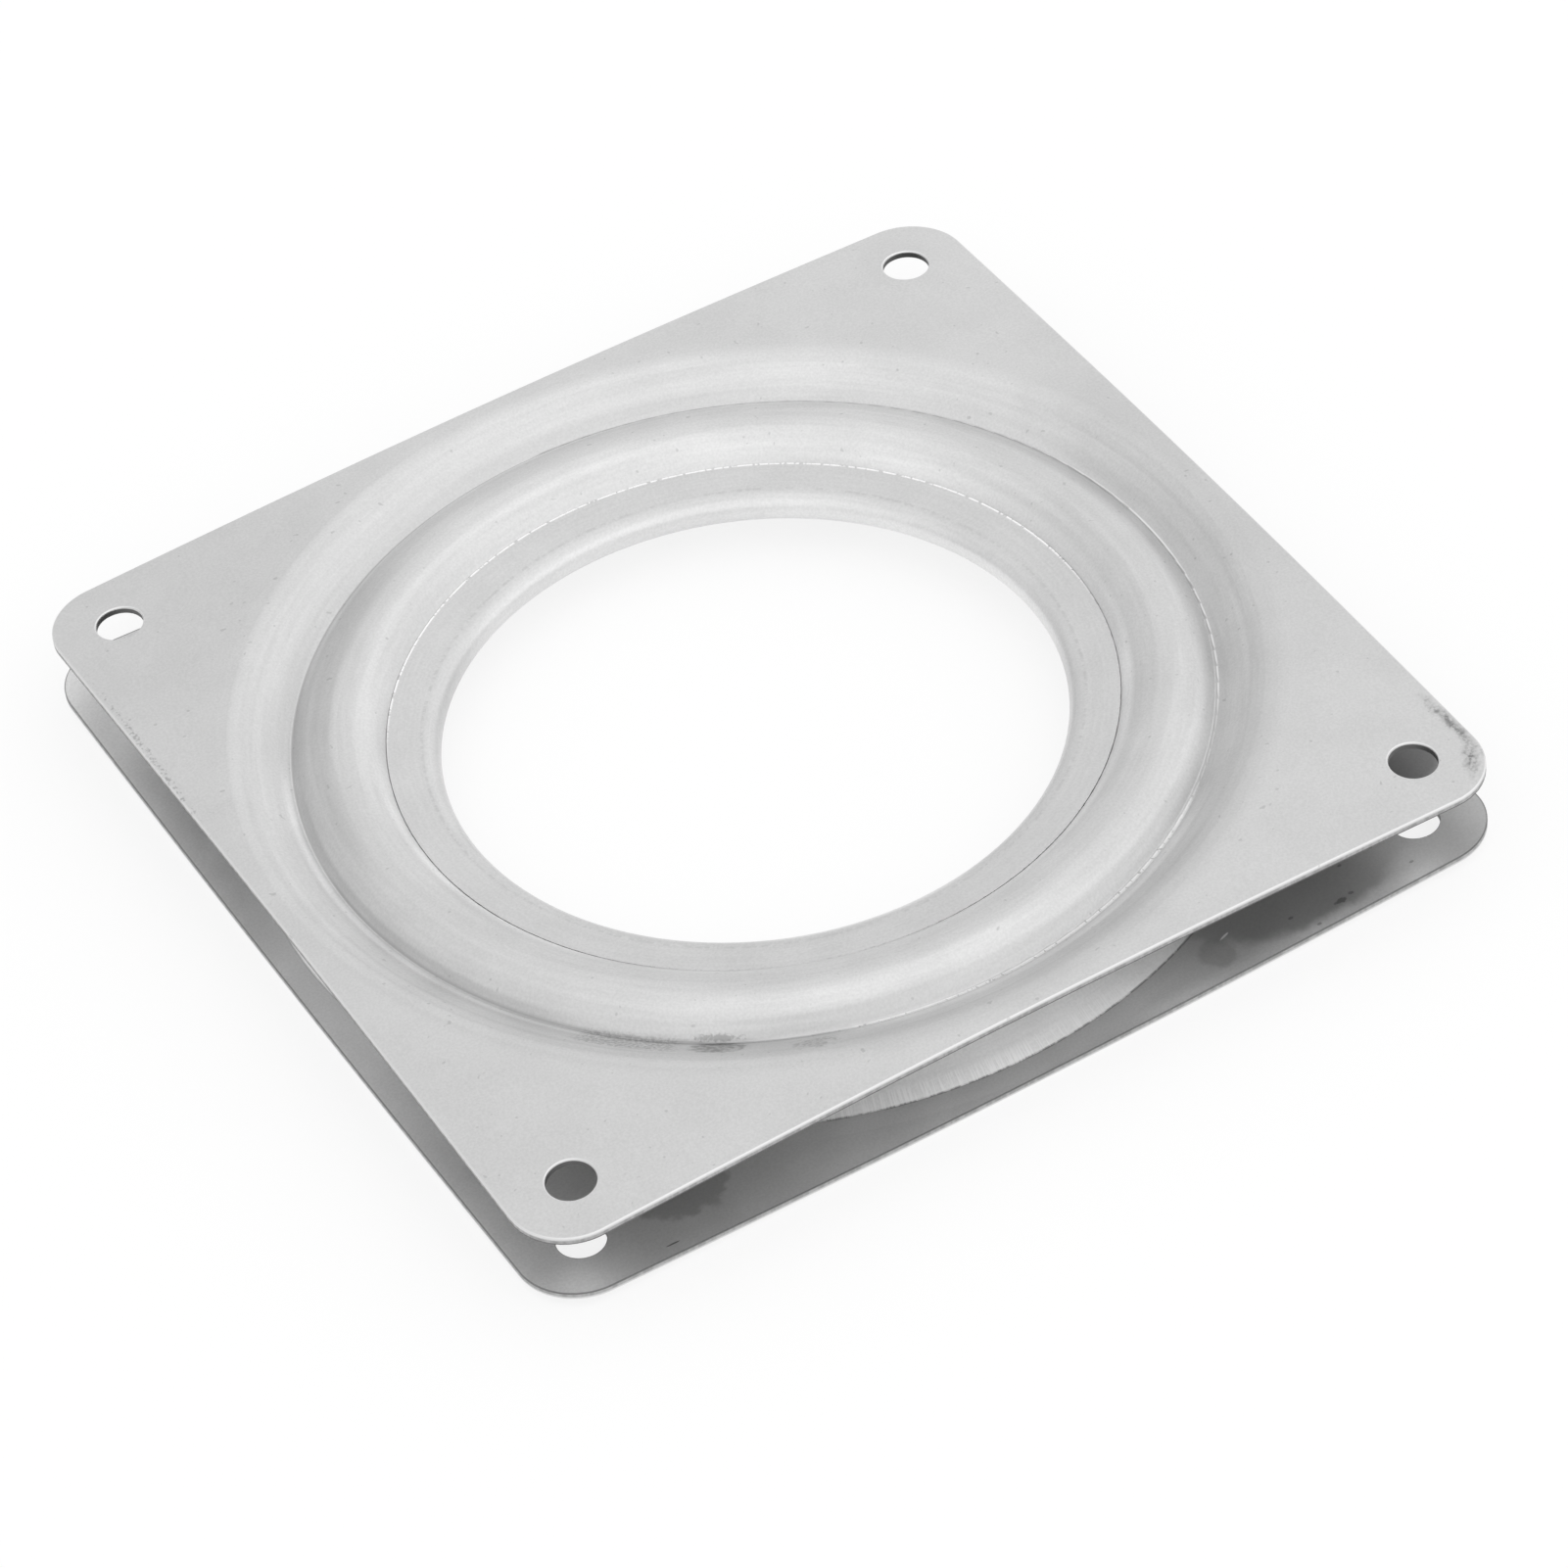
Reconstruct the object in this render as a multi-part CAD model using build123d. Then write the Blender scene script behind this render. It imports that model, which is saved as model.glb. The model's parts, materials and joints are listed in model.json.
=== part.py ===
from build123d import *
import os
from math import asin, atan, cos, pi, radians, tan

# Driving dimensions of the two square plates, in millimetres and degrees
plate_side = 101.6
corner_radius = 6.0
corner_lean = 2.9
sheet = 0.75
edge_rounding = 0.15

# Screw holes at the corners of each plate
screw_hole_inset = 6.45
screw_hole_radius = 2.3

# Balls
ball_diameter = 7.144
ball_play = 0.075
ball_spacing_gap = 0.08

# Pressed form of the plate, from its side inwards: a narrow seat, a dish, a groove and a raised race
side_to_dish = 2.75
seat_width = 1.0
dish_width = 4.55
dish_bend_radius = 4.5
groove_depth = 2.8
groove_floor_radius = 0.3
race_width = 8.9
crest_setback = 0.5
step_rounding = 0.1

# Rolled ring that wraps the inner margins of both plates, and leans down towards the bore
hem_sheet = 0.65
hem_width = 4.95
hem_lean = 7.0
hem_rim_gap = 0.03
margin_gap = 0.5
running_gap = 0.1
margin_edge_gap = 0.15

# Radii worked out from the plate's side inwards
dish_radius = plate_side / 2 - side_to_dish
dish_bend_length = dish_bend_radius * tan(atan(groove_depth / dish_width) / 2)
seat_radius = dish_radius + dish_bend_length + seat_width
race_outer_radius = dish_radius - dish_width
ball_pitch_radius = race_outer_radius - race_width / 2
race_inner_radius = race_outer_radius - race_width
hem_rim_radius = race_inner_radius - hem_rim_gap

# Bead of the rolled ring, round the margins of both plates and the gaps between them
bead_radius = hem_sheet + sheet + (margin_gap + running_gap) / 2
bead_centre_radius = race_inner_radius - hem_width + bead_radius
margin_edge_radius = bead_centre_radius + margin_edge_gap

# Heights worked out from the balls and the sheet, with the lower plate's seat at zero
mid_height = ball_diameter / 2 + ball_play + sheet + crest_setback
bead_height = mid_height + running_gap / 2


def margin_height(radius):
    """Height of the outer face of the lower plate's margin, which the ring's flange lies against."""
    slope = tan(radians(hem_lean))
    at_bead_centre = bead_height - (bead_radius - hem_sheet) / cos(radians(hem_lean))
    return at_bead_centre - (radius - bead_centre_radius) * slope


def nearest_corner(sketch, radius, height):
    """The corner of a half section that lies nearest to a radius and a height."""
    return sketch.vertices().sort_by_distance((radius, height, 0))[0]


def plate_section():
    """Half section of a pressed plate, with its seat down at height zero."""
    corner_rise = (plate_side - seat_radius) * tan(radians(corner_lean))
    corner = Line((plate_side, corner_rise), (seat_radius, 0))
    seat = Line(corner @ 1, (dish_radius, 0))
    dish = Line(seat @ 1, (race_outer_radius, groove_depth))
    crest = (ball_pitch_radius, crest_setback)
    race = ThreePointArc(dish @ 1, crest, (race_inner_radius, groove_depth))
    step = Line(race @ 1, (race_inner_radius, margin_height(race_inner_radius)))
    margin = Line(step @ 1, (margin_edge_radius, margin_height(margin_edge_radius)))
    outer_face = corner + seat + dish + race + step + margin
    section = make_face(offset(outer_face, sheet, side=Side.RIGHT))
    section = fillet(nearest_corner(section, dish_radius, 0), dish_bend_radius)
    section = fillet(nearest_corner(section, race_outer_radius, groove_depth), groove_floor_radius)
    return fillet(nearest_corner(section, race_inner_radius, groove_depth), step_rounding)


def pressed_plate():
    """Square plate with the round form pressed into it and its screw holes, lying on its seat."""
    screw_spacing = plate_side - 2 * screw_hole_inset
    outline = RectangleRounded(plate_side, plate_side, corner_radius)
    screw_holes = GridLocations(screw_spacing, screw_spacing, 2, 2) * Circle(screw_hole_radius)
    blank = extrude(outline - screw_holes, mid_height)
    plate = blank & revolve(Plane.XZ * plate_section(), Axis.Z)
    leaning_face = plate.faces().filter_by(GeomType.CONE).sort_by(Axis.Z)[0]
    seat_edge = leaning_face.edges().filter_by(GeomType.CIRCLE)
    return fillet(leaning_face.edges() - seat_edge, edge_rounding)


def rolled_ring():
    """Ring with a round bead towards the bore and a leaning flange over each plate's margin."""
    bead_line = bead_radius - hem_sheet / 2
    bead = CenterArc((bead_centre_radius, bead_height), bead_line, 90 + hem_lean, 180 - 2 * hem_lean)
    lower_flange = PolarLine(bead @ 1, hem_width, direction=bead % 1)
    upper_flange = PolarLine(bead @ 0, hem_width, direction=-(bead % 0))
    section = trace(upper_flange + bead + lower_flange, hem_sheet)
    return revolve(Plane.XZ * section, Axis.Z) & Cylinder(hem_rim_radius, plate_side)


def ball_ring():
    """The balls, evenly spaced, as many as the race holds."""
    half_turn_per_ball = asin((ball_diameter + ball_spacing_gap) / (2 * ball_pitch_radius))
    places = PolarLocations(ball_pitch_radius, int(pi / half_turn_per_ball))
    return [Pos(Z=mid_height) * place * Sphere(ball_diameter / 2) for place in places]


def bearing():
    """Every piece of the bearing by name."""
    lower_plate = pressed_plate()
    pieces = {
        "lower_plate": lower_plate,
        "upper_plate": mirror(lower_plate, about=Plane.XY.offset(mid_height)),
        "hem_ring": rolled_ring(),
    }
    for number, ball in enumerate(ball_ring(), start=1):
        pieces[f"ball_{number:02d}"] = ball
    return pieces


os.makedirs("parts", exist_ok=True)
for name, piece in bearing().items():
    export_step(piece, f"parts/{name}.step")
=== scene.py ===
"""Looks of the lazy susan bearing: satin zinc plating with press marks, sheared edges and grease, and
painted light and shade.
"""

import bpy
import json
from math import cos, radians, tan
from mathutils import Matrix, Vector


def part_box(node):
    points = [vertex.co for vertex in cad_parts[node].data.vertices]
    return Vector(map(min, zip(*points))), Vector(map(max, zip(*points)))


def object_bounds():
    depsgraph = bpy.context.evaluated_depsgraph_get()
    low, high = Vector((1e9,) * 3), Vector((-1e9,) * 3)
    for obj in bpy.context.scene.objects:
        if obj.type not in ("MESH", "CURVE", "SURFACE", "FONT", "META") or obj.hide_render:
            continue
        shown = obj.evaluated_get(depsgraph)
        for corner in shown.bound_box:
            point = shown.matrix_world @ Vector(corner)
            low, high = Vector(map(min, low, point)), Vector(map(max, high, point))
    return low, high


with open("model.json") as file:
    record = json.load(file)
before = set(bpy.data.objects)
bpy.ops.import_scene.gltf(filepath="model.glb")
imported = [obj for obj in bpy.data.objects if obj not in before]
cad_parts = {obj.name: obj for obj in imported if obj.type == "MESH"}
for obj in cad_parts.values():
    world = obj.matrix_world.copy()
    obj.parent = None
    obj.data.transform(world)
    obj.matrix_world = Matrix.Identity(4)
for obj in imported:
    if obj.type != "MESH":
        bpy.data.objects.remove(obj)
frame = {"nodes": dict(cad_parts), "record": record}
cad_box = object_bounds()

# Camera, as the photograph was taken: place in metres and angles in degrees
camera_place = Vector((-0.1904, -0.4008, 0.4197))
camera_azimuth = 25.67
camera_downward = 43.64
camera_roll = -7.36
sensor_width = 36.0
focal_length = 148.37

# Light: where the soft surround is brightest, its mean strength, and how far it swings about the mean
light_direction = Vector((0.44, -0.61, 0.66))
surround_mean = 0.92
surround_swing = 0.36

# Floor: its side in metres, its grey level, and its own light with the share that the camera sees of it
floor_side = 8.0
floor_grey = 0.95
floor_glow = 1.0
floor_glow_share = 0.8

# Places on the bearing in millimetres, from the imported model
millimetres = 1000.0
plate_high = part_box("upper_plate")[1]
seat_height = plate_high.z * millimetres
half_side = plate_high.x * millimetres
ring_rim_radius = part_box("hem_ring")[1].x * millimetres
screws = next(mount for mount in frame["record"]["mounts"] if mount["name"] == "upper_screws")["dims"]
screw_place = screws["spacing_x_mm"] / 2
screw_hole_radius = screws["hole_r_mm"]

# Measures that the boxes do not give, in millimetres, and the angle by which the corners lean back
corner_radius = 6.0
groove_radius = 43.5
crease_radius = 48.25
seat_radius = 50.3
corner_lean = radians(2.9)
bead_line_radius = 31.3
dish_bend_radius = 48.7
sheet = 0.75
edge_rounding = 0.15

# Bands round the axis, as inner and outer radius in millimetres
drawn_metal = (ring_rim_radius, crease_radius)
# Band of the race beside the ring that gets painted light
race_painted_light = (ring_rim_radius, 37.5)
race_foot = (34.5, 35.7)
race_foot_edge = (34.7, 35.2)
race_inner_side = (34.6, 36.6)
race_inner_flank = (36.2, 38.0)
race_crown = (39.6, 41.4)
race_outer_side = (41.8, 43.2)
race_outer_flank = (42.0, 43.4)
race_edge_left = (42.7, groove_radius)
race_edge_far = (42.6, groove_radius)
dish_foot = (43.6, 45.0)
dish_foot_line = (43.8, 44.6)
dish_foot_front = (44.0, 45.2)
dish_foot_right = (44.0, 45.4)
dish_wall = (43.6, 47.6)
dish_border = (46.6, 48.1)
dish_bend = (48.1, 49.8)
race_and_dish = (40.5, 48.5)
hair_band = (43.3, 46.2)
inner_dish = (groove_radius, crease_radius)
drag_band = (crease_radius - 1.3, crease_radius - 0.1)
ring_bead = (20.0, bead_line_radius - 0.5)


class Graph:
    """Short calls that add nodes to one material or world and join them up."""

    def __init__(self, tree):
        self.tree = tree
        self.tree.nodes.clear()

    def node(self, kind, **settings):
        made = self.tree.nodes.new(kind)
        for name, value in settings.items():
            setattr(made, name, value)
        return made

    def put(self, socket, value):
        """Joins a node's output to a socket, or sets the socket to a plain value."""
        if isinstance(value, bpy.types.NodeSocket):
            self.tree.links.new(value, socket)
        else:
            socket.default_value = value

    def math(self, operation, first, second=0.0):
        made = self.node("ShaderNodeMath", operation=operation)
        self.put(made.inputs[0], first)
        self.put(made.inputs[1], second)
        return made.outputs[0]

    def vector(self, operation, first, second=None, output="Vector"):
        made = self.node("ShaderNodeVectorMath", operation=operation)
        self.put(made.inputs[0], first)
        if second is not None:
            self.put(made.inputs[1], second)
        return made.outputs[output]

    def split(self, vector):
        made = self.node("ShaderNodeSeparateXYZ")
        self.put(made.inputs[0], vector)
        return made.outputs

    def join(self, x, y, z):
        made = self.node("ShaderNodeCombineXYZ")
        for socket, value in zip(made.inputs, (x, y, z)):
            self.put(socket, value)
        return made.outputs[0]

    def remap(self, value, from_low, from_high, to_low=0.0, to_high=1.0):
        """Smooth change from one level to another while the value crosses a range."""
        made = self.node("ShaderNodeMapRange", interpolation_type="SMOOTHSTEP")
        for socket, number in zip(made.inputs, (value, from_low, from_high, to_low, to_high)):
            self.put(socket, number)
        return made.outputs["Result"]

    def blend(self, share, first, second):
        made = self.node("ShaderNodeMix", data_type="FLOAT")
        self.put(made.inputs["Factor"], share)
        self.put(made.inputs["A"], first)
        self.put(made.inputs["B"], second)
        return made.outputs["Result"]

    def noise(self, place, scale, detail=2.0):
        made = self.node("ShaderNodeTexNoise")
        self.put(made.inputs["Vector"], place)
        self.put(made.inputs["Scale"], scale)
        self.put(made.inputs["Detail"], detail)
        return made.outputs["Fac"]

    def overlap(self, first, *others):
        """Mask that is on where all the given masks are on."""
        for other in others:
            first = self.math("MULTIPLY", first, other)
        return first

    def outside(self, mask):
        return self.math("SUBTRACT", 1.0, mask)


class SteelGraph(Graph):
    """A steel material built up in layers, with places on the bearing in millimetres."""

    def __init__(self, name, tone, roughness):
        self.material = bpy.data.materials.new(name)
        self.material.use_nodes = True
        super().__init__(self.material.node_tree)
        metres = self.node("ShaderNodeTexCoord").outputs["Object"]
        self.place = self.vector("MULTIPLY", metres, (millimetres, millimetres, millimetres))
        self.plan = self.vector("MULTIPLY", self.place, (1, 1, 0))
        self.radius = self.vector("LENGTH", self.plan, output="Value")
        self.around = self.vector("NORMALIZE", self.plan)
        self.height = self.split(self.place)["Z"]
        self.upward = self.split(self.node("ShaderNodeNewGeometry").outputs["Normal"])["Z"]
        self.grain = self.noise(self.place, 4.0, detail=3.0)
        cloud = self.noise(self.place, 0.16, detail=3.0)
        self.tone = self.remap(self.grain, 0.2, 0.8, tone - 0.035, tone + 0.035)
        self.tone = self.math("ADD", self.tone, self.remap(cloud, 0.3, 0.7, -0.015, 0.015))
        self.roughness = self.remap(cloud, 0.3, 0.7, roughness - 0.04, roughness + 0.04)

    def coat(self, tone, roughness, *masks):
        """Lays another tone and roughness over the steel where all the masks are on."""
        mask = self.overlap(*masks)
        self.tone = self.blend(mask, self.tone, tone)
        self.roughness = self.blend(mask, self.roughness, roughness)

    def shade(self, factor, *masks):
        """Makes the steel lighter or darker by a factor where all the masks are on."""
        share = self.blend(self.overlap(*masks), 1.0, factor)
        self.tone = self.math("MULTIPLY", self.tone, share)

    def line(self, distance, width):
        """Thin line where a distance crosses zero."""
        return self.remap(self.math("ABSOLUTE", distance), 0.3 * width, width, 1.0, 0.0)

    def ring(self, radius, width):
        """Thin line round the axis."""
        return self.line(self.math("SUBTRACT", self.radius, radius), width)

    def belt(self, band, soft=0.3):
        """Wide band round the axis, from its inner to its outer radius."""
        inner, outer = band
        above = self.remap(self.radius, inner - soft, inner + soft)
        return self.overlap(above, self.remap(self.radius, outer - soft, outer + soft, 1.0, 0.0))

    def sector(self, azimuth, spread, soft=5.0):
        """Part of the turn round the axis, in degrees from +X to each side of an azimuth."""
        direction = Matrix.Rotation(radians(azimuth), 3, "Z") @ Vector((1, 0, 0))
        along = self.vector("DOT_PRODUCT", self.around, tuple(direction), output="Value")
        return self.remap(along, cos(radians(spread + soft)), cos(radians(spread)))

    def turned(self, turns, steps, detail=2.0):
        """Noise drawn out round the axis, by its changes per turn and per millimetre of radius."""
        lengthwise = self.vector("MULTIPLY", self.around, (turns, turns, 0))
        across = self.join(0.0, 0.0, self.math("MULTIPLY", self.radius, steps))
        return self.noise(self.vector("ADD", lengthwise, across), 1.0, detail)

    def patches(self, scale, threshold, soft=0.06, detail=3.0):
        """Scattered ragged patches."""
        return self.remap(self.noise(self.place, scale, detail), threshold - soft, threshold + soft)

    def mottle(self, scale):
        """Soft uneven cover that is nowhere quite off."""
        return self.remap(self.noise(self.place, scale, detail=4.0), 0.35, 0.65, 0.25, 1.0)

    def spot(self, x, y, length, width, turn=0.0, ragged=0.5, soft=0.3, lumps=1.6):
        """Oval mark with a ragged outline: centre, half length, half width, and turn in degrees."""
        mapping = self.node("ShaderNodeMapping", vector_type="TEXTURE")
        self.put(mapping.inputs["Vector"], self.plan)
        mapping.inputs["Location"].default_value = (x, y, 0)
        mapping.inputs["Rotation"].default_value = (0, 0, radians(turn))
        mapping.inputs["Scale"].default_value = (length, width, 1)
        distance = self.vector("LENGTH", mapping.outputs[0], output="Value")
        wander = self.remap(self.noise(self.place, lumps, detail=3.0), 0.25, 0.75, -ragged, ragged)
        return self.remap(self.math("ADD", distance, wander), 1.0 - soft, 1.0, 1.0, 0.0)

    def finish(self, metallic, bump=0.08):
        """Joins the layers to the shader and gives back the material."""
        normal = self.node("ShaderNodeBump")
        normal.inputs["Strength"].default_value = bump
        normal.inputs["Distance"].default_value = 0.02 / millimetres
        self.put(normal.inputs["Height"], self.grain)
        shader = self.node("ShaderNodeBsdfPrincipled")
        self.put(shader.inputs["Base Color"], self.join(self.tone, self.tone, self.tone))
        self.put(shader.inputs["Roughness"], self.roughness)
        self.put(shader.inputs["Normal"], normal.outputs[0])
        shader.inputs["Metallic"].default_value = metallic
        output = self.node("ShaderNodeOutputMaterial")
        self.put(output.inputs["Surface"], shader.outputs[0])
        return self.material


def outline_distance(steel):
    """How far a point lies inside the plate's rounded square outline."""
    folded = steel.vector("ABSOLUTE", steel.plan)
    corner_centre = half_side - corner_radius
    past = steel.vector("SUBTRACT", folded, (corner_centre, corner_centre, 0))
    rounded = steel.vector("LENGTH", steel.vector("MAXIMUM", past, (0, 0, 0)), output="Value")
    along = steel.split(past)
    straight = steel.math("MINIMUM", steel.math("MAXIMUM", along["X"], along["Y"]), 0.0)
    return steel.math("SUBTRACT", corner_radius, steel.math("ADD", rounded, straight))


def hole_distance(steel):
    """How far a point lies outside the nearest screw hole."""
    folded = steel.vector("ABSOLUTE", steel.plan)
    centre = (screw_place, screw_place, 0)
    to_centre = steel.vector("DISTANCE", folded, centre, output="Value")
    return steel.math("SUBTRACT", to_centre, screw_hole_radius)


def depth_below_face(steel, seat):
    """How deep a point lies below the plate's outer face, which leans back past its seat."""
    past_seat = steel.math("MAXIMUM", steel.math("SUBTRACT", steel.radius, seat_radius), 0.0)
    lean = steel.math("MULTIPLY", past_seat, tan(corner_lean))
    from_seat = steel.math("ABSOLUTE", steel.math("SUBTRACT", steel.height, seat))
    return steel.math("SUBTRACT", from_seat, lean)


def plate_faces(steel, facing):
    """Masks of a plate's outer and inner face. Facing is 1 for an outer face that looks up, else -1."""
    outer = steel.remap(steel.math("MULTIPLY", steel.upward, facing), 0.1, 0.3)
    inner = steel.remap(steel.math("MULTIPLY", steel.upward, -facing), 0.1, 0.3)
    return outer, inner


def press_marks_and_painted_light(steel, outer, inner):
    """Both plates: streaks round the axis, painted light beside the ring and at the dish bend, painted
    shade in the outer groove, and a darker line along the inner crease.
    """
    drawn = steel.belt(drawn_metal, soft=1.0)
    steel.shade(1.06, drawn, steel.remap(steel.turned(2.5, 1.6), 0.35, 0.7))
    steel.shade(0.97, drawn, steel.remap(steel.turned(9.0, 7.0), 0.5, 0.75))
    # Painted light on the race beside the ring.
    steel.shade(1.08, steel.belt(race_painted_light, soft=1.0))
    # Painted highlight along the dish bend on the left.
    steel.shade(1.05, steel.ring(dish_bend_radius, 0.7), steel.sector(175, 60, 20), outer)
    # Painted shade: a dark line in the groove.
    steel.coat(0.50, 0.5, steel.ring(groove_radius, 0.14), outer)
    # Darker line along the crease, broken into dashes in front.
    crease = steel.overlap(steel.ring(crease_radius, 0.14), inner)
    steel.shade(0.75, crease)
    steel.shade(0.55, crease, steel.sector(270, 30, 20), steel.remap(steel.turned(60.0, 1.0), 0.4, 0.5))


def sheared_edges_and_painted_light(steel, seat, inner):
    """Cut edges and holes of a plate: a painted highlight on the rounding next to the outer face, torn
    metal with painted shade below, a painted shadow at the bottom, and painted shade in the holes.
    """
    depth = depth_below_face(steel, seat)
    edge = outline_distance(steel)
    hole = hole_distance(steel)
    nearest = steel.math("MINIMUM", edge, hole)
    # Painted highlight on the rounded rim of the edges and holes.
    rim = steel.remap(nearest, edge_rounding - 0.07, edge_rounding + 0.03, 1.0, 0.0)
    rounded = steel.remap(depth, edge_rounding + 0.01, edge_rounding + 0.07, 1.0, 0.0)
    steel.coat(0.76, 0.35, rim, rounded)
    # Torn metal of the edge walls, darkened with painted shade.
    wall = steel.remap(edge, 0.02, 0.05, 1.0, 0.0)
    torn_and_shaded_tone = steel.remap(steel.noise(steel.plan, 2.0), 0.35, 0.65, 0.36, 0.48)
    steel.coat(torn_and_shaded_tone, 0.55, wall, steel.remap(depth, edge_rounding + 0.11, edge_rounding + 0.21))
    # Painted shadow: a dark line at the bottom of the edge walls.
    steel.coat(0.20, 0.6, wall, steel.remap(depth, sheet - 0.15, sheet - 0.09))
    steel.coat(0.30, 0.6, inner, steel.remap(edge, 0.06, edge_rounding, 1.0, 0.0))
    # Painted shade in the hole walls.
    hole_wall = steel.remap(hole, 0.02, 0.05, 1.0, 0.0)
    steel.coat(0.16, 0.55, hole_wall, steel.remap(depth, edge_rounding + 0.01, edge_rounding + 0.11))


def groove_burr_and_painted_light(steel, outer):
    """Upper groove: the plain tone in front, a broken burr with a painted highlight, a painted highlight
    on the right, painted shade on the left and in front, and painted light on the far side.
    """
    # The groove's painted shade gives way to the plain tone in front.
    steel.coat(0.62, 0.35, steel.ring(groove_radius, 0.12), steel.sector(250, 10, 8), outer)
    # Painted shade beside the groove in front.
    steel.shade(0.80, steel.ring(groove_radius + 0.35, 0.22), steel.sector(238, 14, 8), outer)
    # Broken burr, lit by a painted highlight in dashes.
    dashes = steel.remap(steel.turned(170.0, 1.5), 0.34, 0.42)
    steel.coat(1.0, 0.35, steel.ring(groove_radius + 0.20, 0.28), steel.sector(279, 24, 8), outer, dashes)
    # Painted highlight along the groove on the right.
    steel.coat(0.80, 0.3, steel.ring(groove_radius + 0.15, 0.12), steel.sector(350, 22, 8), outer)
    # Painted shade on the left and painted light on the far side.
    steel.shade(0.87, steel.belt(race_edge_left, soft=0.2), steel.sector(188, 22, 12), outer)
    steel.shade(1.18, steel.belt(race_edge_far), steel.sector(120, 14, 14), outer)
    steel.shade(0.80, steel.ring(groove_radius - 0.05, 0.22), steel.sector(208, 28, 8), outer)


def race_tones(steel, outer):
    """Upper race: painted light and shade by direction on its foot, crown and flanks."""
    # Painted light and shade by direction, on each band of the race.
    foot = steel.overlap(steel.belt(race_foot, soft=0.4), outer)
    steel.shade(1.28, foot, steel.sector(188, 16, 20))
    steel.shade(1.24, foot, steel.sector(304, 18, 22))
    steel.shade(1.14, foot, steel.sector(5, 28, 15))
    steel.shade(1.12, steel.belt(race_foot_edge, soft=0.2), steel.sector(240, 50, 15), outer)
    steel.shade(0.90, steel.belt(race_inner_side, soft=0.5), steel.sector(105, 20, 20), outer)
    steel.shade(0.94, steel.belt(race_inner_flank, soft=0.5), steel.sector(342, 18, 12), outer)
    crown = steel.overlap(steel.belt(race_crown, soft=0.6), outer)
    steel.shade(0.87, crown, steel.sector(150, 18, 18))
    steel.shade(1.10, crown, steel.sector(255, 18, 15))
    steel.shade(0.88, steel.belt(race_outer_flank, soft=0.4), steel.sector(275, 28, 15), outer)
    steel.shade(1.10, steel.belt(race_outer_side), steel.sector(80, 25, 20), outer)


def dish_tones(steel, outer):
    """Upper dish: painted light and shade by direction, a painted reflection of the race at its foot in
    front, and painted shade that makes its outer border crisp in front and on the right.
    """
    # Painted light and shade by direction.
    steel.shade(0.94, steel.belt(dish_foot, soft=0.2), steel.sector(95, 40, 25), outer)
    # Painted reflection of the race in the foot of the dish in front.
    steel.shade(1.20, steel.belt(dish_foot_front), steel.sector(279, 20, 12), outer)
    # More painted light and shade by direction.
    steel.shade(0.92, steel.belt(dish_foot_right), steel.sector(352, 16, 14), outer)
    steel.shade(0.93, steel.belt(dish_wall), steel.sector(88, 14, 20), outer)
    left = steel.overlap(steel.sector(192, 22, 18), outer)
    steel.shade(1.28, steel.belt(dish_foot_line), left)
    steel.shade(1.10, steel.belt(dish_wall, soft=0.5), left)
    # Painted shade that makes the outer border crisp.
    front = steel.overlap(steel.sector(285, 85, 20), outer)
    steel.shade(0.95, steel.belt(dish_border, soft=0.12), front)
    steel.shade(0.97, steel.belt(dish_bend), front)


def far_side(steel, outer):
    """Painted light on the far side of the upper plate, and painted shade at its right edge."""
    # Painted light on the far side.
    far = steel.overlap(steel.sector(65, 25, 35), outer)
    steel.shade(1.06, far)
    steel.shade(1.04, far, steel.belt(race_and_dish, soft=1.0))
    # Painted shade at the right edge.
    right_edge = steel.overlap(steel.sector(0, 12, 22), steel.remap(steel.radius, 48.5, 50.0))
    steel.shade(0.96, right_edge, outer)


def press_smudges(steel, outer):
    """Dark smudges at the near groove: a line above it, and a lens, a patch and hairs beside it."""
    line = steel.spot(-24.5, -35.6, 2.6, 0.3, turn=-34.5, ragged=0.4, soft=0.6, lumps=3.0)
    steel.shade(0.66, line, outer)
    beside = steel.remap(steel.radius, groove_radius + 0.12, groove_radius + 0.2)
    lens = steel.overlap(steel.spot(-25.4, -37.05, 3.0, 1.6, turn=-34.4, ragged=0.12), beside, outer)
    steel.shade(0.50, lens, steel.mottle(2.0))
    steel.shade(0.74, lens, steel.ring(groove_radius + 0.35, 0.4))
    patch = steel.spot(-18.3, -42.0, 2.4, 1.5, turn=156.5, ragged=0.4, soft=0.5)
    steel.shade(0.68, patch, steel.mottle(3.0), outer)
    hairs = steel.overlap(steel.belt(hair_band), steel.sector(225, 4, 3), outer)
    steel.shade(0.68, hairs, steel.patches(3.2, 0.50, soft=0.12))


def scuffs(steel, outer):
    """Scuffed right corner and worn left edge of the upper plate, and a few specks all over it."""
    along_side = steel.spot(50.0, -42.5, 6.0, 0.8, turn=92, ragged=0.2, soft=0.9)
    round_corner = steel.spot(48.9, -47.0, 3.0, 1.0, turn=62, ragged=0.2, soft=0.9)
    scuffed = steel.math("MAXIMUM", along_side, round_corner)
    steel.shade(0.34, scuffed, steel.mottle(2.5), outer)
    worn_edge = steel.spot(-50.4, 26.0, 13.0, 0.35, turn=89, soft=0.6)
    steel.shade(0.66, worn_edge, outer, steel.patches(3.0, 0.54, soft=0.08))
    steel.shade(0.82, steel.patches(1.8, 0.83, soft=0.03, detail=0.0), outer)


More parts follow.
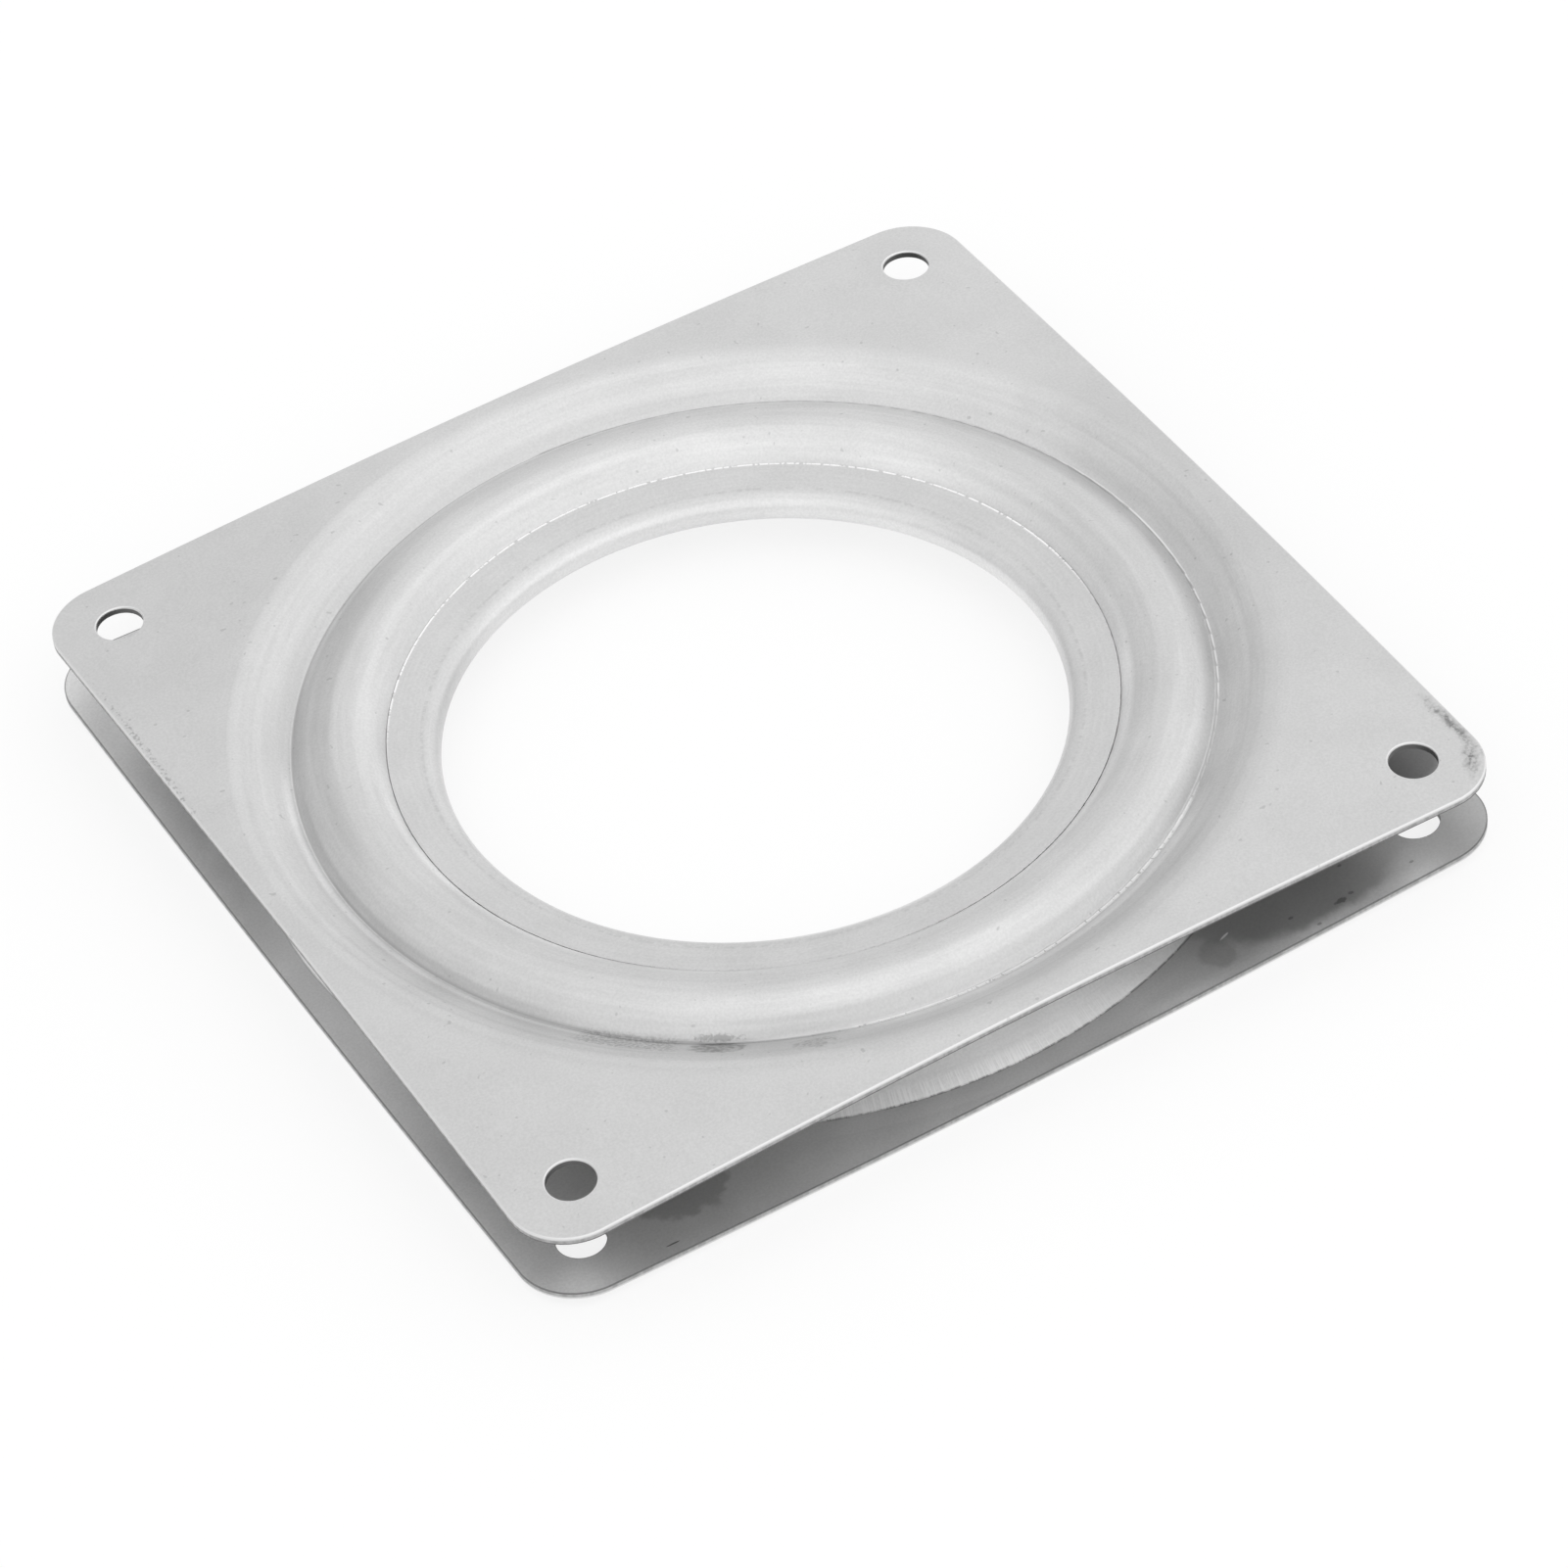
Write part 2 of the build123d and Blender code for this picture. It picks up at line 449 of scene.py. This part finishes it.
def upper_plate_steel():
    """Satin zinc of the upper plate, with the marks of its pressing and its use, and painted light and
    shade.
    """
    steel = SteelGraph("upper_plate_zinc", tone=0.615, roughness=0.38)
    outer, inner = plate_faces(steel, facing=1.0)
    press_marks_and_painted_light(steel, outer, inner)
    sheared_edges_and_painted_light(steel, seat_height, inner)
    groove_burr_and_painted_light(steel, outer)
    race_tones(steel, outer)
    dish_tones(steel, outer)
    far_side(steel, outer)
    press_smudges(steel, outer)
    scuffs(steel, outer)
    return steel.finish(metallic=0.85)


def inner_face_tones(steel, inner):
    """Inner face of the lower plate: painted shade on the right, and painted light on the left, on the
    dish and along the near edge.
    """
    side = steel.split(steel.place)
    # Painted light on the left and painted shade on the right.
    steel.shade(1.26, steel.remap(side["X"], -49.0, -38.0, 1.0, 0.0), inner)
    steel.shade(0.80, steel.remap(side["X"], 40.0, 47.0), inner)
    # Painted light on the dish.
    steel.shade(1.14, steel.belt(inner_dish), inner)
    # Painted light along part of the near edge.
    near_edge = steel.remap(side["Y"], -50.6, -48.6, 1.0, 0.0)
    past_left_end = steel.remap(side["X"], 5.0, 18.0)
    before_right_end = steel.remap(side["X"], 38.0, 46.0, 1.0, 0.0)
    steel.shade(1.25, near_edge, past_left_end, before_right_end, inner)
    # Painted light in a patch by the near edge.
    painted_light_patch = steel.spot(14.0, -49.0, 9.0, 4.0, ragged=0.0, soft=0.8)
    steel.shade(1.22, painted_light_patch, inner)


def drag_lines(steel, inner):
    """Bright strokes across the lower dish next to the crease, where the press dragged the metal."""
    strokes = steel.remap(steel.turned(300.0, 0.3), 0.48, 0.6)
    steel.coat(0.78, 0.4, steel.belt(drag_band), steel.sector(261, 15, 12), inner, strokes)


def grease_and_painted_shade(steel, inner):
    """Grease film on the inner face, darkened with painted shade of the gap: dark in its middle, fading
    at both ends, with more painted shade at its ends, and a drop of grease.
    """
    along = steel.split(steel.place)["X"]
    # Grease film, darkened together with painted shade of the gap under the upper plate.
    film = steel.spot(31.5, -41.7, 13.5, 8.8, ragged=0.04, soft=0.16, lumps=0.4)
    fading_right = steel.remap(along, 32.0, 44.0, 1.0, 0.1)
    fading_left = steel.remap(along, 17.5, 24.5, 0.35, 1.0)
    steel.shade(0.56, film, fading_right, fading_left, inner)
    # Painted shade: a dark lobe at the left end of the film.
    lobe = steel.spot(20.5, -47.4, 2.0, 2.2, ragged=0.12, soft=0.35, lumps=0.7)
    steel.shade(0.80, lobe, inner)
    # Soft left end of the film and its painted shade.
    soft_end = steel.spot(20.5, -44.0, 4.5, 4.0, ragged=0.0, soft=0.9)
    steel.shade(0.82, soft_end, inner)
    # Painted shade towards the right.
    painted_shade_right = steel.spot(44.0, -36.0, 12.0, 10.0, ragged=0.0, soft=0.85)
    steel.shade(0.62, painted_shade_right, inner)
    # Painted shade under the upper plate, next to the screw hole.
    behind_screw_hole = steel.spot(47.7, -37.6, 5.3, 4.2, ragged=0.0, soft=0.5)
    steel.shade(0.44, behind_screw_hole, inner)
    drop = steel.spot(-34.0, -43.5, 5.0, 4.4, ragged=0.12, soft=0.2, lumps=0.7)
    steel.shade(0.72, drop, inner)


def dirt_in_grease(steel, inner):
    """Clot, specks and a fibre in the grease of the lower plate, and a short bright scratch."""
    clot = steel.spot(33.1, -48.7, 0.7, 0.35, ragged=0.3)
    steel.shade(0.55, clot, inner)
    specks = ((29.9, -50.0), (35.6, -44.8), (34.4, -48.4), (41.1, -48.5), (39.2, -44.6), (28.3, -47.7))
    for x, y in specks:
        steel.shade(0.62, steel.spot(x, y, 0.3, 0.2, ragged=0.3), inner)
    fibre = steel.spot(-37.9, -49.5, 0.8, 0.1, ragged=0.1)
    steel.shade(0.25, fibre, inner)
    scratch = steel.spot(22.2, -45.9, 0.7, 0.12, turn=20, ragged=0.2)
    steel.coat(0.8, 0.4, scratch, inner)


def lower_plate_steel():
    """Satin zinc of the lower plate, with grease and dirt on its inner face, and painted light and shade.
    """
    steel = SteelGraph("lower_plate_zinc", tone=0.615, roughness=0.42)
    outer, inner = plate_faces(steel, facing=-1.0)
    press_marks_and_painted_light(steel, outer, inner)
    sheared_edges_and_painted_light(steel, 0.0, inner)
    inner_face_tones(steel, inner)
    drag_lines(steel, inner)
    grease_and_painted_shade(steel, inner)
    dirt_in_grease(steel, inner)
    return steel.finish(metallic=0.65)


def ring_steel():
    """Rolled ring: painted light and shade by direction on its bead, a faint darker broken line where the
    bead starts, a painted highlight in dashes on the far rim and painted shade on the near rim.
    """
    steel = SteelGraph("ring_zinc", tone=0.62, roughness=0.38)
    steel.shade(1.04, steel.remap(steel.turned(3.0, 3.0), 0.35, 0.7))
    broken = steel.remap(steel.turned(60.0, 1.0), 0.45, 0.55)
    steel.shade(0.91, steel.ring(bead_line_radius, 0.22), broken)
    bead = steel.belt(ring_bead)
    # Painted light on the bead, less on the far side and more in front.
    steel.shade(1.08, bead)
    steel.shade(0.92, bead, steel.sector(105, 30, 25))
    steel.shade(1.16, bead, steel.sector(262, 10, 14))
    # Painted light on the far side of the bead next to the bore.
    bore_side = steel.remap(steel.radius, 29.8, 30.5, 1.0, 0.0)
    steel.shade(1.22, bore_side, steel.sector(55, 60, 20))
    # Painted highlight in dashes along the far rim.
    dashes = steel.remap(steel.turned(90.0, 1.0), 0.38, 0.46)
    far_rim = steel.overlap(steel.ring(ring_rim_radius, 0.26), steel.sector(72, 66, 20))
    steel.coat(1.0, 0.25, far_rim, dashes)
    # Painted shade along the near rim, between the dashes.
    near_rim = steel.overlap(steel.ring(ring_rim_radius, 0.14), steel.sector(290, 60, 20))
    steel.coat(0.50, 0.5, near_rim, steel.outside(dashes))
    return steel.finish(metallic=0.85)


def ball_steel():
    """Polished bearing steel with a thin film of grease."""
    steel = SteelGraph("bearing_ball", tone=0.68, roughness=0.14)
    film = steel.noise(steel.place, 0.5, detail=3.0)
    steel.coat(0.60, 0.24, steel.remap(film, 0.45, 0.6))
    return steel.finish(metallic=1.0, bump=0.02)


def dress_nodes():
    """Gives every CAD node its material."""
    steels = {
        "upper_plate": upper_plate_steel(),
        "lower_plate": lower_plate_steel(),
        "hem_ring": ring_steel(),
    }
    ball = ball_steel()
    for name, node in frame["nodes"].items():
        for slot in node.material_slots:
            slot.material = steels.get(name, ball)


def make_world():
    """Soft surround that is brightest above and to the near right."""
    world = bpy.data.worlds.new("studio")
    bpy.context.scene.world = world
    world.use_nodes = True
    graph = Graph(world.node_tree)
    direction = graph.node("ShaderNodeTexCoord").outputs["Generated"]
    towards_light = graph.vector("DOT_PRODUCT", direction, tuple(light_direction), output="Value")
    surround = graph.node("ShaderNodeBackground")
    surround.inputs["Color"].default_value = (1, 1, 1, 1)
    strength = graph.math("ADD", graph.math("MULTIPLY", towards_light, surround_swing), surround_mean)
    graph.put(surround.inputs["Strength"], strength)
    output = graph.node("ShaderNodeOutputWorld")
    graph.put(output.inputs["Surface"], surround.outputs[0])


def make_floor():
    """White floor under the lower plate, which keeps a light shadow and is clear from below."""
    bpy.ops.mesh.primitive_plane_add(size=floor_side, location=(0, 0, cad_box[0].z))
    floor = bpy.context.object
    floor.name = "floor"
    material = bpy.data.materials.new("pale_floor")
    material.use_nodes = True
    graph = Graph(material.node_tree)
    shaded = graph.node("ShaderNodeBsdfDiffuse")
    shaded.inputs["Color"].default_value = (floor_grey, floor_grey, floor_grey, 1)
    glow = graph.node("ShaderNodeEmission")
    glow.inputs["Strength"].default_value = floor_glow
    ray = graph.node("ShaderNodeLightPath").outputs
    mirrored = graph.math("MAXIMUM", ray["Is Glossy Ray"], ray["Is Transmission Ray"])
    seen = graph.math("MAXIMUM", ray["Is Camera Ray"], mirrored)
    mixed = graph.node("ShaderNodeMixShader")
    graph.put(mixed.inputs["Fac"], graph.math("MULTIPLY", seen, floor_glow_share))
    graph.put(mixed.inputs[1], shaded.outputs[0])
    graph.put(mixed.inputs[2], glow.outputs[0])
    one_sided = graph.node("ShaderNodeMixShader")
    graph.put(one_sided.inputs["Fac"], graph.node("ShaderNodeNewGeometry").outputs["Backfacing"])
    graph.put(one_sided.inputs[1], mixed.outputs[0])
    graph.put(one_sided.inputs[2], graph.node("ShaderNodeBsdfTransparent").outputs[0])
    output = graph.node("ShaderNodeOutputMaterial")
    graph.put(output.inputs["Surface"], one_sided.outputs[0])
    floor.data.materials.append(material)


def make_camera():
    """Camera that stands and leans as the photograph's did."""
    data = bpy.data.cameras.new("camera")
    data.sensor_width = sensor_width
    data.lens = focal_length
    camera = bpy.data.objects.new("camera", data)
    turn = Matrix.Rotation(radians(-camera_azimuth), 4, "Z")
    tilt = Matrix.Rotation(radians(90 - camera_downward), 4, "X")
    roll = Matrix.Rotation(radians(camera_roll), 4, "Z")
    camera.matrix_world = Matrix.Translation(camera_place) @ turn @ tilt @ roll
    bpy.context.scene.collection.objects.link(camera)
    bpy.context.scene.camera = camera


dress_nodes()
make_world()
make_floor()
make_camera()
bpy.context.scene.view_settings.view_transform = "Standard"
